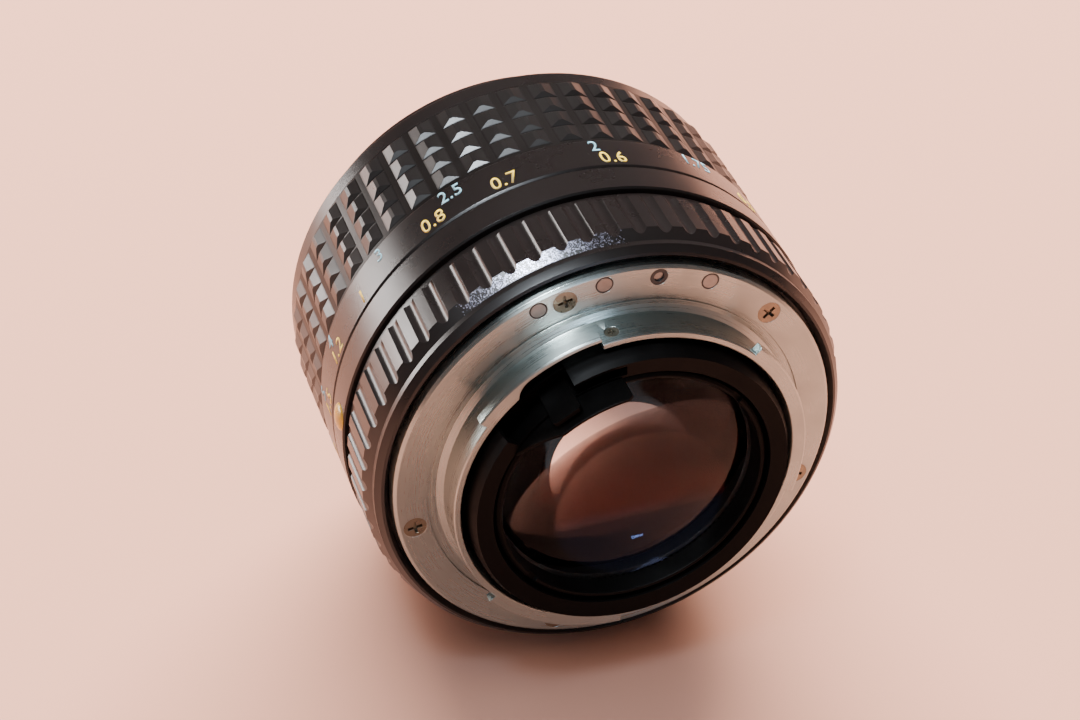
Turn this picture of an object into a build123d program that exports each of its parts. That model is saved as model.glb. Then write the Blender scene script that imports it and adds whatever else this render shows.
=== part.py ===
from build123d import *
from math import radians, sin, sqrt
import os

# Prime camera lens with a three-lug bayonet mount, in millimetres.
# The optical axis is Y: the mount is at the rear, towards -Y, and the front glass looks along +Y.
# The origin is the centre of the mount's flange face, and +Z is up.
# Angles go from +X towards +Z, which is anticlockwise as seen from behind the lens.

CLEAR = 0.05                 # radial clearance of a running fit
GAP = 0.3                    # room between parts that pass each other

# mount flange and bayonet
FLANGE_R = 29.25
FLANGE_T = 2.4
TUBE_R = 22.95
TUBE_BORE_R = 22.0
TUBE_END = -5.0
LUG_R = 24.0
LUG_T = 1.45
LUG_SPANS = [(-18.7, 44.8), (99.8, 143.8), (219.3, 268.3)]
POCKET_R = 23.35
POCKET_SPAN = (99.6, 124.0)
POCKET_FLOOR = -3.0
REGISTER_R = 24.4
REGISTER_GROOVE_W = 0.6
REGISTER_GROOVE_D = 0.25
SCREW_CIRCLE_R = 27.0
SCREW_ANGLES = [-20.3, 42.6, 104.9, 189.6, 252.8]
SCREW_HEAD_R = 1.55
SCREW_SHANK_R = 0.8
SCREW_LENGTH = 5.2
SCREW_BOSS_R = 1.5
CONTACT_CIRCLE_R = 27.6
CONTACT_ANGLES = [64.8, 94.1, 112.0]
CONTACT_R = 0.95
CONTACT_STEM_R = 0.5
BUSH_R = 1.15
PIN_ANGLE = 79.5
PIN_R = 0.6
PIN_COLLAR_R = 0.8
PIN_COLLAR_END = 4.1
PIN_HOLE_END = 7.2
STOP_SCREW_ANGLE = 95.3
STOP_SCREW_Y = -3.2

# rear shroud, lever guard and stop-down ring
SHROUD_R = 21.2
SHROUD_WALL = 0.7
SHROUD_END = -7.0
SHROUD_BORE_R = 18.4
SHROUD_SLEEVE = 0.35
NOTCH_SPAN = (113.3, 143.3)
SHROUD_FOOT_R = 21.9
SHROUD_SCREW_ANGLES = (20.0, 165.0, 290.0)
SHROUD_SCREW_CIRCLE_R = 21.2
SHROUD_SCREW_R = 0.45
SLOT_SPAN = (94.0, 114.0)
SLOT_R = (18.8, 20.2)
GUARD_SPAN = (95.8, 147.3)
GUARD_T = 0.4
GUARD_END = -10.7
GUARD_SLOPE_FROM = 125.5
GUARD_SLOPE_END = -6.8
LEVER_ANGLE = 120.5
LEVER_R = 19.5
LEVER_T = 0.6
LEVER_W = 3.9
LEVER_END = -9.7
LEVER_SWING = 18.0
STOP_RING_R = 20.3
FORK_ANGLE = 200.0
FORK_END = 9.0
BAR_W = 2.0
BAR_R = (19.2, 20.2)
LEVER_SPRING_ANGLE = 232.0
LEVER_SPRING_CIRCLE_R = 22.7
LEVER_SPRING_LENGTH = 8.0

# fixed barrel and index ring
BARREL_R = 28.6
BARREL_BORE_R = 27.3
BARREL_END = 27.0
WEB_R = 20.8
WEB_T = 1.6
INDEX_R = 32.4
INDEX_START = 12.85
INDEX_END = 17.7
INDEX_STEP_R = 30.6
BEAD_ANGLE = 173.8
BEAD_Y = 14.7
BEAD_R = 1.9
KEY_ANGLES = [30.0, 150.0, 270.0]
KEY_W = 4.0
KEY_START = 10.0
KEY_END = 19.0
KEY_SCREW_Y = 14.5
INDEX_SCREW_ANGLES = (14.0, 266.0)
INDEX_SCREW_Y = 15.2
DETENT_ANGLE = 255.0
DETENT_CIRCLE_R = 29.9
DETENT_BALL_R = 0.7
DETENT_HOLE_END = 16.8

# aperture ring
APERTURE_R = 32.2
APERTURE_START = 0.8
APERTURE_END = 12.5
APERTURE_RIM_R = 31.75
SKIRT_R = 31.3
SKIRT_SPAN = (1.8, 2.6)
CONE_END = 4.2
FLUTE_COUNT = 60
FLUTE_PHASE = 89.0
FLUTE_R = 1.2
FLUTE_DEPTH = 0.43
LAND_END = 11.3
NUMBER_PANEL = (214.0, 316.0)
APERTURE_TURN = 66.0
BUTTON_ANGLE = 309.0
BUTTON_R = 1.7
BUTTON_TOP = 32.45
BUTTON_Y = 6.8
BUTTON_BASE_R = 30.2
LINK_ANGLE = 331.0
LINK_Y = 5.4
LINK_R = 0.6
LINK_HEAD_R = 1.1
LINK_SEAT_R = 30.4
LINK_TIP_R = 26.0
CLICKS = 9

# focus ring and grip
SCALE_R = 32.4
SCALE_START = 17.85
SCALE_END = 24.1
FOCUS_BODY_R = 31.2
FOCUS_BORE_R = 29.2
FOCUS_BEARING_END = 22.5
FOCUS_END = 44.0
FOCUS_FRONT_R = 31.9
FOCUS_FRONT_END = 42.1
GRIP_START = 24.25
GRIP_END = 39.5
GRIP_BASE_R = 32.05
GRIP_R = 32.5
GRIP_ROWS = 4
GRIP_ROW_START = 25.05
GRIP_ROW_PITCH = 3.57
GRIP_ROW_GAP = 0.3
GRIP_COLUMNS = 48
GRIP_PHASE = 85.8
GRIP_BLOCK_W = 3.1
GRIP_CREST_W = 0.55
GRIP_REAR_SLOPE = 0.8
GRIP_FRONT_SLOPE = 0.4
HELICOID_START = 28.0
HELICOID_END = 41.0
FOCUS_SCREW_ANGLES = (60.0, 180.0, 300.0)
FOCUS_SCREW_Y = 31.0
SET_SCREW_R = 0.8

# carriage: the optical unit that slides forward for near focus
CARRIAGE_R = 26.9
CARRIAGE_BORE_R = 23.6
CARRIAGE_START = 8.4
CARRIAGE_END = 43.0
CELL_WEB = (9.6, 11.8)
CELL_R = 17.9
CELL_BORE_R = 17.2
SPACER_T = 0.7
CELL_START = -4.9
CELL_END = 15.8
FILTER_R = 28.9
FILTER_BORE_R = 25.6
FILTER_LIP_R = 24.6
FILTER_START = 43.0
FILTER_LIP_END = 44.6
FRONT_END = 48.5
FRONT_CELL_END = 38.0
RETAINER_BORE_R = 21.9

# iris
BLADE_COUNT = 9
BLADE_T = 0.12
BLADE_PITCH = 0.25
BLADE_PIVOT_R = 21.3
BLADE_STUD_R = 0.5
BLADE_INNER_R = 16.5
BLADE_OUTER_R = 19.7
BLADE_SWEEP = 70.0
BLADE_PHASE = 10.0
IRIS_START = 15.9
IRIS_END = 20.4
IRIS_FLOOR = 1.0
IRIS_BORE_R = 17.3
IRIS_RING_R = 22.4
IRIS_SLOT_CIRCLE_R = 20.0

# lens elements: each face is (vertex y, curve), and a positive curve bulges forwards
ELEMENT_1 = {"radius": 22.3, "front": (44.2, 42.0), "rear": (37.0, 110.0)}
ELEMENT_2 = {"radius": 19.8, "front": (36.4, 26.0), "rear": (30.0, 60.0)}
ELEMENT_3 = {"radius": 18.5, "front": (29.4, 50.0), "rear": (27.6, 20.0), "clear": 14.5}
ELEMENT_4 = {"radius": CELL_BORE_R, "front": (10.2, -30.0), "rear": (8.4, -60.0)}
ELEMENT_5 = {"radius": CELL_BORE_R, "front": (8.35, -60.0), "rear": (5.2, -33.0)}
ELEMENT_6 = {"radius": CELL_BORE_R, "front": (4.8, 200.0), "rear": (1.0, -60.0)}
ELEMENT_7 = {"radius": CELL_BORE_R, "front": (0.7, 45.0), "rear": (-5.6, -75.0)}

REAR = Axis((0, 0, 0), (0, -1, 0))


def at(angle, radius=0.0, y=0.0):
    """Frame at an angle round the axis: local X points outwards, Y forwards, Z along the turn."""
    return Rot(0, -angle, 0) * Pos(radius, y, 0)


def turned(outline, span=360.0, start=0.0):
    """Solid of revolution from (radius, y) points."""
    face = make_face(Polyline(*outline, close=True))
    solid = revolve(face, REAR, revolution_arc=span)
    return Rot(0, -start, 0) * solid


def tube(r_in, r_out, y0, y1):
    return turned([(r_in, y0), (r_out, y0), (r_out, y1), (r_in, y1)])


def sector(r_in, r_out, y0, y1, a0, a1):
    outline = [(r_in, y0), (r_out, y0), (r_out, y1), (r_in, y1)]
    return turned(outline, a1 - a0, a0)


def rod(radius, y0, y1):
    """Round rod along Y."""
    return Pos(0, (y0 + y1) / 2, 0) * Rot(90, 0, 0) * Cylinder(radius, y1 - y0)


def pin_out(radius, r0, r1):
    """Round rod along local X, from one distance off the axis to another."""
    return Pos((r0 + r1) / 2, 0, 0) * Rot(0, 90, 0) * Cylinder(radius, r1 - r0)


def block(r0, r1, y0, y1, width):
    """Straight block in the frame that at() gives."""
    return Pos((r0 + r1) / 2, (y0 + y1) / 2, 0) * Box(r1 - r0, y1 - y0, width)


def cross_recess(size, depth):
    """Cross cut for a screw driver, into a head whose face is at local y = 0."""
    bar = Box(size, depth * 2, size * 0.22)
    return bar + Rot(0, 90, 0) * bar


def sag(curve, radius):
    """How far a spherical face has dropped back from its vertex at a radius."""
    drop = abs(curve) - sqrt(curve ** 2 - radius ** 2)
    return drop if curve > 0 else -drop


def glass(radius, front, rear, clear=None):
    """Lens element. front and rear are (vertex y, curve); a positive curve bulges forwards.

    clear is the radius of a hollow rear face, inside a flat rim."""
    rear_r = clear or radius
    front_y, front_curve = front
    rear_y, rear_curve = rear
    top = (0, front_y)
    front_mid = (radius / 2, front_y - sag(front_curve, radius / 2))
    front_edge = (radius, front_y - sag(front_curve, radius))
    rear_edge = (rear_r, rear_y - sag(rear_curve, rear_r))
    rear_mid = (rear_r / 2, rear_y - sag(rear_curve, rear_r / 2))
    bottom = (0, rear_y)
    rim = [Line(front_edge, (radius, rear_edge[1]))]
    if clear:
        rim.append(Line((radius, rear_edge[1]), rear_edge))
    face = make_face(
        [ThreePointArc(top, front_mid, front_edge)]
        + rim
        + [ThreePointArc(rear_edge, rear_mid, bottom), Line(bottom, top)]
    )
    return revolve(face, REAR)


def coil(radius, wire_r, height, turns):
    """Compression spring along Y, starting at y = 0."""
    path = Helix(height / turns, height, radius)
    section = Plane(path @ 0, z_dir=path % 0) * Circle(wire_r)
    return Rot(-90, 0, 0) * sweep(section, path, is_frenet=True)


# ---------------------------------------------------------------- mount

def mount_flange():
    outline = [
        (TUBE_BORE_R, TUBE_END + 0.15),
        (TUBE_BORE_R + 0.15, TUBE_END),
        (TUBE_R - 0.15, TUBE_END),
        (TUBE_R, TUBE_END + 0.15),
        (TUBE_R, -0.5),
        (TUBE_R + 0.85, 0),
        (REGISTER_R, 0),
        (REGISTER_R, REGISTER_GROOVE_D),
        (REGISTER_R + REGISTER_GROOVE_W, REGISTER_GROOVE_D),
        (REGISTER_R + REGISTER_GROOVE_W, 0),
        (FLANGE_R - 0.4, 0),
        (FLANGE_R, 0.35),
        (FLANGE_R, FLANGE_T),
        (TUBE_BORE_R, FLANGE_T),
    ]
    body = turned(outline)
    lug_outline = [
        (TUBE_R - 0.4, TUBE_END),
        (LUG_R - 0.2, TUBE_END),
        (LUG_R, TUBE_END + 0.2),
        (LUG_R, TUBE_END + LUG_T),
        (TUBE_R - 0.4, TUBE_END + LUG_T),
    ]
    for a0, a1 in LUG_SPANS:
        body += turned(lug_outline, a1 - a0, a0)
    pocket = sector(TUBE_BORE_R - 1, POCKET_R, TUBE_END - 1, POCKET_FLOOR, *POCKET_SPAN)
    pocket_end_r = 3.0
    pocket += at(POCKET_SPAN[1], POCKET_R - pocket_end_r) * rod(pocket_end_r, TUBE_END - 1, POCKET_FLOOR)
    body -= pocket
    for angle in SCREW_ANGLES:
        body -= at(angle, SCREW_CIRCLE_R) * screw_hole()
    for angle in CONTACT_ANGLES + [PIN_ANGLE]:
        body -= at(angle, CONTACT_CIRCLE_R) * rod(BUSH_R, -1, FLANGE_T + 1)
    body -= at(STOP_SCREW_ANGLE, 0, STOP_SCREW_Y) * pin_out(0.6, TUBE_BORE_R - 1, TUBE_R + 2)
    body -= at(STOP_SCREW_ANGLE, 0, STOP_SCREW_Y) * pin_out(0.95, TUBE_R - 0.35, TUBE_R + 2)
    return body


def screw_hole():
    """Countersunk hole whose mouth is at local y = 0."""
    neck = SCREW_HEAD_R - SCREW_SHANK_R
    cone = turned([(0, -0.01), (SCREW_HEAD_R + 0.01, -0.01), (SCREW_SHANK_R, neck), (0, neck)])
    return cone + rod(SCREW_SHANK_R, 0.1, FLANGE_T + 1)


def countersunk_screw():
    neck = SCREW_HEAD_R - SCREW_SHANK_R
    outline = [
        (0, 0.02),
        (SCREW_HEAD_R - 0.03, 0.02),
        (SCREW_SHANK_R, neck),
        (SCREW_SHANK_R, SCREW_LENGTH),
        (0, SCREW_LENGTH),
    ]
    return turned(outline) - Pos(0, 0.02, 0) * cross_recess(1.9, 0.6)


def flange_screws():
    return [at(angle, SCREW_CIRCLE_R) * countersunk_screw() for angle in SCREW_ANGLES]


def bayonet_screw():
    head = pin_out(0.9, TUBE_R - 0.3, TUBE_R - 0.05)
    shank = pin_out(0.55, TUBE_BORE_R + 0.1, TUBE_R - 0.2)
    recess = Pos(TUBE_R, 0, 0) * (Box(0.5, 1.1, 0.22) + Box(0.5, 0.22, 1.1))
    return [at(STOP_SCREW_ANGLE, 0, STOP_SCREW_Y) * (head + shank - recess)]


def contact_discs():
    disc = rod(CONTACT_R, 0.0, 1.4) + rod(CONTACT_STEM_R, 1.0, 3.6)
    return [at(angle, CONTACT_CIRCLE_R) * disc for angle in CONTACT_ANGLES]


def contact_bushes():
    bush = tube(CONTACT_R, BUSH_R, 0.02, 1.4) + tube(CONTACT_STEM_R, BUSH_R, 1.4, FLANGE_T)
    pin_bush = tube(PIN_R + CLEAR, BUSH_R, 0.02, FLANGE_T)
    bushes = [at(angle, CONTACT_CIRCLE_R) * bush for angle in CONTACT_ANGLES]
    return bushes + [at(PIN_ANGLE, CONTACT_CIRCLE_R) * pin_bush]


def auto_contact_pin():
    collar = rod(PIN_COLLAR_R, PIN_COLLAR_END - 0.5, PIN_COLLAR_END)
    return [at(PIN_ANGLE, CONTACT_CIRCLE_R) * (rod(PIN_R, 0.3, PIN_COLLAR_END) + collar)]


def auto_pin_spring():
    """Spring that pushes the pin out, in the pin's own hole."""
    start = PIN_COLLAR_END + 0.15
    spring = coil(PIN_R, 0.1, PIN_HOLE_END - start - 0.15, 5)
    return [at(PIN_ANGLE, CONTACT_CIRCLE_R, start) * spring]


# ---------------------------------------------------------------- rear shroud and levers

def rear_shroud():
    """Black ring round the rear glass, with a notch and a slot that the lever swings in."""
    sleeve_r = SHROUD_BORE_R + SHROUD_SLEEVE
    wall_r = SHROUD_R - SHROUD_WALL
    face_inside = SHROUD_END + 1.2
    foot_y = 0.6
    outline = [
        (SHROUD_BORE_R, SHROUD_END + 0.3),
        (SHROUD_R - 0.6, SHROUD_END),
        (SHROUD_R, SHROUD_END + 1.5),
        (SHROUD_R, foot_y),
        (SHROUD_FOOT_R, foot_y),
        (SHROUD_FOOT_R, FLANGE_T),
        (wall_r, FLANGE_T),
        (wall_r, face_inside),
        (sleeve_r, face_inside),
        (sleeve_r, -1.2),
        (SHROUD_BORE_R, -1.2),
    ]
    body = turned(outline)
    body -= sector(sleeve_r + 0.1, SHROUD_R + 1, SHROUD_END - 1, -2.2, *NOTCH_SPAN)
    body -= sector(*SLOT_R, SHROUD_END - 1, face_inside + 0.5, *SLOT_SPAN)
    for angle in SHROUD_SCREW_ANGLES:
        body -= at(angle, SHROUD_SCREW_CIRCLE_R) * rod(SHROUD_SCREW_R, foot_y + 0.3, FLANGE_T + 1)
    return body


def lever_guard():
    """Curved plate that stands up behind the lever, with one end sloped."""
    a0, a1 = GUARD_SPAN
    middle = (a0 + a1) / 2
    start = SHROUD_BORE_R * sin(radians(a0 - middle))
    slope_from = SHROUD_BORE_R * sin(radians(GUARD_SLOPE_FROM - middle))
    end = SHROUD_BORE_R * sin(radians(a1 - middle))
    corner = 0.6
    front = -1.5
    outline = [
        (front, start),
        (GUARD_END + corner, start),
        (GUARD_END, start + corner),
        (GUARD_END, slope_from),
        (GUARD_SLOPE_END, end),
        (front, end),
    ]
    face = Plane.YZ.offset(SHROUD_BORE_R / 2) * make_face(Polyline(*outline, close=True))
    plate = extrude(face, SHROUD_BORE_R)
    return at(middle) * plate & tube(SHROUD_BORE_R - GUARD_T, SHROUD_BORE_R, GUARD_END - 1, front)


def shroud_screws():
    head_y = FLANGE_T + WEB_T
    screw = rod(SHROUD_SCREW_R, 1.0, head_y) + rod(SHROUD_SCREW_R + 0.3, head_y, head_y + 0.5)
    screw -= Pos(0, head_y + 0.5, 0) * Box(2.0, 0.4, 0.25)
    return [at(angle, SHROUD_SCREW_CIRCLE_R) * screw for angle in SHROUD_SCREW_ANGLES]


def stop_down_lever():
    plate_y0 = -3.0
    plate_y1 = -2.0
    bearing_r = SHROUD_BORE_R + SHROUD_SLEEVE + CLEAR
    ring = tube(bearing_r, STOP_RING_R, plate_y0, plate_y1)
    blade = block(LEVER_R - LEVER_T, LEVER_R, LEVER_END, plate_y1, LEVER_W)
    tip = Pos(LEVER_R - LEVER_T / 2, LEVER_END, 0)
    corner = Rot(45, 0, 0) * Box(LEVER_T * 2, 0.45, 0.45)
    for side in (-1, 1):
        blade -= tip * Pos(0, 0, side * LEVER_W / 2) * corner
    body = ring + at(LEVER_ANGLE) * blade
    prong_w = 1.1
    offset = BAR_W / 2 + CLEAR + prong_w / 2
    for side in (-1, 1):
        prong = block(19.0, 20.25, plate_y0, FORK_END, prong_w)
        body += at(FORK_ANGLE) * Pos(0, 0, side * offset) * prong
    return body


def lever_spring():
    """Spring that pulls the stop-down ring back, lying along the turn above the web."""
    wire_r = 0.14
    coil_r = 0.75
    spring = coil(coil_r, wire_r, LEVER_SPRING_LENGTH, 14)
    lying = Pos(0, 0, -LEVER_SPRING_LENGTH / 2) * Rot(90, 0, 0) * spring
    y = FLANGE_T + WEB_T + coil_r + wire_r + 0.15
    return [at(LEVER_SPRING_ANGLE, LEVER_SPRING_CIRCLE_R, y) * lying]


# ---------------------------------------------------------------- fixed barrel

def fixed_barrel():
    """Main tube of the housing, with the web that the mount and the shroud are screwed to."""
    web_end = FLANGE_T + WEB_T
    body = tube(BARREL_BORE_R, BARREL_R, FLANGE_T, BARREL_END)
    body += tube(WEB_R, BARREL_R, FLANGE_T, web_end)
    boss = rod(SCREW_BOSS_R, FLANGE_T, SCREW_LENGTH + 0.8)
    screw_hole_cut = rod(SCREW_SHANK_R, FLANGE_T - 1, SCREW_LENGTH)
    for angle in SCREW_ANGLES:
        body += at(angle, SCREW_CIRCLE_R) * boss
        body -= at(angle, SCREW_CIRCLE_R) * screw_hole_cut
    for angle in CONTACT_ANGLES:
        body -= at(angle, CONTACT_CIRCLE_R) * rod(CONTACT_STEM_R + 0.1, FLANGE_T - 1, web_end + 1)
    body -= at(PIN_ANGLE, CONTACT_CIRCLE_R) * rod(PIN_COLLAR_R + CLEAR, FLANGE_T - 1, PIN_HOLE_END)
    for angle in SHROUD_SCREW_ANGLES:
        body -= at(angle, SHROUD_SCREW_CIRCLE_R) * rod(SHROUD_SCREW_R, FLANGE_T - 1, web_end + 1)
    slot_half = LINK_R + 0.4
    a0 = LINK_ANGLE - APERTURE_TURN - 3.5
    a1 = LINK_ANGLE + 3.5
    body -= sector(BARREL_BORE_R - 1, BARREL_R + 1, LINK_Y - slot_half, LINK_Y + slot_half, a0, a1)
    for angle in KEY_ANGLES:
        body -= at(angle, 0, KEY_SCREW_Y) * pin_out(0.7, BARREL_BORE_R - 2, BARREL_R + 1)
    return body


def guide_keys():
    """Keys inside the barrel that stop the carriage turning."""
    key = block(BARREL_BORE_R - 1.4, BARREL_BORE_R + 1, KEY_START, KEY_END, KEY_W)
    key &= tube(BARREL_BORE_R - 3, BARREL_BORE_R, KEY_START - 1, KEY_END + 1)
    key -= Pos(0, KEY_SCREW_Y, 0) * pin_out(0.45, BARREL_BORE_R - 2, BARREL_R)
    return [at(angle) * key for angle in KEY_ANGLES]


def guide_key_screws():
    shank = pin_out(0.45, BARREL_BORE_R - 1.0, BARREL_R - 0.4)
    head = pin_out(0.7, BARREL_BORE_R, BARREL_R - 0.1)
    slot = Pos(BARREL_R - 0.1, 0, 0) * Box(0.5, 1.6, 0.25)
    return [at(angle, 0, KEY_SCREW_Y) * (shank + head - slot) for angle in KEY_ANGLES]


def index_ring():
    outline = [
        (BARREL_R, APERTURE_END + 0.15),
        (INDEX_STEP_R, APERTURE_END + 0.15),
        (INDEX_STEP_R, INDEX_START),
        (INDEX_R - 0.25, INDEX_START),
        (INDEX_R, INDEX_START + 0.2),
        (INDEX_R, INDEX_END - 0.2),
        (INDEX_R - 0.2, INDEX_END),
        (BARREL_R, INDEX_END),
    ]
    body = turned(outline)
    for angle in INDEX_SCREW_ANGLES:
        body -= at(angle, 0, INDEX_SCREW_Y) * pin_out(SET_SCREW_R, BARREL_R - 1, INDEX_R + 1)
    body -= at(BEAD_ANGLE, 0, BEAD_Y) * pin_out(1.0, INDEX_R - 2.0, INDEX_R + 1)
    ball_room = rod(DETENT_BALL_R + CLEAR, APERTURE_END, DETENT_HOLE_END)
    body -= at(DETENT_ANGLE, DETENT_CIRCLE_R, 0) * ball_room
    return body


def index_ring_screws():
    body = pin_out(SET_SCREW_R, BARREL_R, INDEX_R - 0.35)
    slot = Pos(INDEX_R - 0.35, 0, 0) * Box(0.8, 1.7, 0.3)
    return [at(angle, 0, INDEX_SCREW_Y) * (body - slot) for angle in INDEX_SCREW_ANGLES]


def alignment_bead():
    """Domed bead that can be felt in the dark, on a stem in the index ring."""
    base = Pos(INDEX_R - 0.25, 0, 0)
    dome = base * scale(Sphere(BEAD_R), (0.42, 1, 1))
    stem = pin_out(1.0, INDEX_R - 2.0, INDEX_R)
    place = at(BEAD_ANGLE, 0, BEAD_Y)
    outside = tube(INDEX_R, INDEX_R + 3, BEAD_Y - 3, BEAD_Y + 3)
    return [(place * dome & outside) + place * stem]


def detent_ball():
    y = APERTURE_END + CLEAR + DETENT_BALL_R
    return [at(DETENT_ANGLE, DETENT_CIRCLE_R, y) * Sphere(DETENT_BALL_R)]


def detent_spring():
    start = APERTURE_END + CLEAR + DETENT_BALL_R * 2 + 0.1
    spring = coil(0.5, 0.1, DETENT_HOLE_END - start - 0.15, 6)
    return [at(DETENT_ANGLE, DETENT_CIRCLE_R, start) * spring]


# ---------------------------------------------------------------- aperture ring

def aperture_ring():
    """Ring with a skirt, a cone and a rim, and flutes that run from the rim out on to the cone."""
    bore = BARREL_R + CLEAR
    flange_room = FLANGE_R + 0.4
    counterbore_end = 3.2
    outline = [
        (flange_room + 0.6, APERTURE_START),
        (flange_room + 0.95, APERTURE_START + 0.15),
        (SKIRT_R - 0.1, SKIRT_SPAN[0] - 0.1),
        (SKIRT_R, SKIRT_SPAN[0]),
        (SKIRT_R, SKIRT_SPAN[1]),
        (APERTURE_R - 0.03, CONE_END - 0.05),
        (APERTURE_R, CONE_END),
        (APERTURE_R, LAND_END - 0.12),
        (APERTURE_R - 0.12, LAND_END),
        (APERTURE_RIM_R, LAND_END),
        (APERTURE_RIM_R, APERTURE_END - 0.12),
        (APERTURE_RIM_R - 0.12, APERTURE_END),
        (bore, APERTURE_END),
        (bore, counterbore_end),
        (flange_room, counterbore_end),
        (flange_room, APERTURE_START + 0.7),
    ]
    body = turned(outline)
    cutter = rod(FLUTE_R, SKIRT_SPAN[0], LAND_END + 0.3)
    flutes = []
    for step in range(FLUTE_COUNT):
        angle = (FLUTE_PHASE + step * 360 / FLUTE_COUNT) % 360
        if not NUMBER_PANEL[0] < angle < NUMBER_PANEL[1]:
            flutes.append(at(angle, APERTURE_R - FLUTE_DEPTH + FLUTE_R) * cutter)
    body = body.cut(*flutes)
    body -= at(BUTTON_ANGLE, 0, BUTTON_Y) * pin_out(BUTTON_R + CLEAR, BARREL_R, APERTURE_R + 1)
    body -= at(LINK_ANGLE, 0, LINK_Y) * pin_out(LINK_R, LINK_TIP_R, APERTURE_R)
    body -= at(LINK_ANGLE, 0, LINK_Y) * pin_out(LINK_HEAD_R, LINK_SEAT_R, APERTURE_R + 1)
    for step in range(CLICKS + 1):
        angle = DETENT_ANGLE + step * APERTURE_TURN / CLICKS
        body -= at(angle, DETENT_CIRCLE_R, APERTURE_END + 0.3) * Sphere(DETENT_BALL_R - 0.1)
    return body


def aperture_link_screw():
    head_top = LINK_SEAT_R + 0.9
    shank = pin_out(LINK_R, LINK_TIP_R, LINK_SEAT_R + 0.1)
    head = pin_out(LINK_HEAD_R, LINK_SEAT_R, head_top)
    slot = Pos(head_top, 0, 0) * Box(0.7, 2.4, 0.35)
    return [at(LINK_ANGLE, 0, LINK_Y) * (shank + head - slot)]


def aperture_cam_ring():
    """Ring inside the barrel that turns with the aperture ring, clear of the screw bosses."""
    boss_clear_r = SCREW_CIRCLE_R - SCREW_BOSS_R - GAP
    body = tube(boss_clear_r - 0.8, boss_clear_r, LINK_Y - 1.1, LINK_Y + 1.1)
    half = 2.4
    lug = sector(boss_clear_r - 0.4, BARREL_BORE_R - CLEAR, LINK_Y - 0.9, LINK_Y + 0.9,
                 LINK_ANGLE - half, LINK_ANGLE + half)
    lug -= at(LINK_ANGLE, 0, LINK_Y) * pin_out(LINK_R, LINK_TIP_R, BARREL_R)
    return body + lug


def lock_button():
    """Domed button, hollow underneath for its spring."""
    dome_r = 6.0
    body = pin_out(BUTTON_R, BUTTON_BASE_R, BUTTON_TOP)
    body &= Pos(BUTTON_TOP - dome_r, 0, 0) * Sphere(dome_r)
    body -= pin_out(BUTTON_R - 0.5, BUTTON_BASE_R - 1, BUTTON_TOP - 1.0)
    return [at(BUTTON_ANGLE, 0, BUTTON_Y) * body]


def lock_button_spring():
    length = BUTTON_TOP - BUTTON_BASE_R - 1.4
    spring = Rot(0, 0, -90) * coil(BUTTON_R - 0.8, 0.12, length, 3)
    return [at(BUTTON_ANGLE, BUTTON_BASE_R + 0.2, BUTTON_Y) * spring]


# ---------------------------------------------------------------- focus ring

def focus_ring():
    bearing = BARREL_R + CLEAR
    outline = [
        (bearing, SCALE_START),
        (SCALE_R - 0.25, SCALE_START),
        (SCALE_R, SCALE_START + 0.3),
        (SCALE_R, SCALE_END - 0.15),
        (SCALE_R - 0.15, SCALE_END),
        (FOCUS_BODY_R, SCALE_END),
        (FOCUS_BODY_R, GRIP_END + 0.1),
        (FOCUS_FRONT_R - 0.1, GRIP_END + 0.1),
        (FOCUS_FRONT_R, GRIP_END + 0.2),
        (FOCUS_FRONT_R, FOCUS_FRONT_END),
        (FOCUS_FRONT_R - 0.35, FOCUS_FRONT_END + 0.3),
        (FOCUS_BORE_R + 1.0, FOCUS_END),
        (FOCUS_BORE_R, FOCUS_END),
        (FOCUS_BORE_R, FOCUS_BEARING_END),
        (bearing, FOCUS_BEARING_END),
    ]
    body = turned(outline)
    for angle in FOCUS_SCREW_ANGLES:
        body -= at(angle, 0, FOCUS_SCREW_Y) * pin_out(SET_SCREW_R, FOCUS_BORE_R - 1, FOCUS_BODY_R + 1)
    return body


def focus_ring_screws():
    body = pin_out(SET_SCREW_R, FOCUS_BORE_R - 1.0, FOCUS_BODY_R - 0.1)
    slot = Pos(FOCUS_BODY_R - 0.1, 0, 0) * Box(0.8, 1.7, 0.3)
    return [at(angle, 0, FOCUS_SCREW_Y) * (body - slot) for angle in FOCUS_SCREW_ANGLES]


def focus_helicoid():
    body = tube(CARRIAGE_R + GAP, FOCUS_BORE_R, HELICOID_START, HELICOID_END)
    for angle in FOCUS_SCREW_ANGLES:
        body -= at(angle, 0, FOCUS_SCREW_Y) * pin_out(SET_SCREW_R, FOCUS_BORE_R - 1.0, FOCUS_BODY_R)
    return body


def grip_tooth(y0):
    """Raised block with four sloping sides that meet in a narrow crest along Y."""
    y1 = y0 + GRIP_ROW_PITCH - GRIP_ROW_GAP
    sunk = 0.25
    root = GRIP_BASE_R - sunk
    drop = sunk / (GRIP_R - GRIP_BASE_R)
    crest = GRIP_CREST_W / 2
    base = GRIP_BLOCK_W / 2 + drop * (GRIP_BLOCK_W - GRIP_CREST_W) / 2
    across = make_face(Polyline((root, -base), (GRIP_R, -crest), (GRIP_R, crest), (root, base), close=True))
    along = make_face(Polyline(
        (root, y0 - drop * GRIP_REAR_SLOPE),
        (GRIP_R, y0 + GRIP_REAR_SLOPE),
        (GRIP_R, y1 - GRIP_FRONT_SLOPE),
        (root, y1 + drop * GRIP_FRONT_SLOPE),
        close=True,
    ))
    prism = Pos(0, y0 - 1, 0) * Rot(-90, 0, 0) * extrude(across, GRIP_ROW_PITCH + 2)
    profile = extrude(along, GRIP_BLOCK_W, both=True)
    return prism & profile


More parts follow.
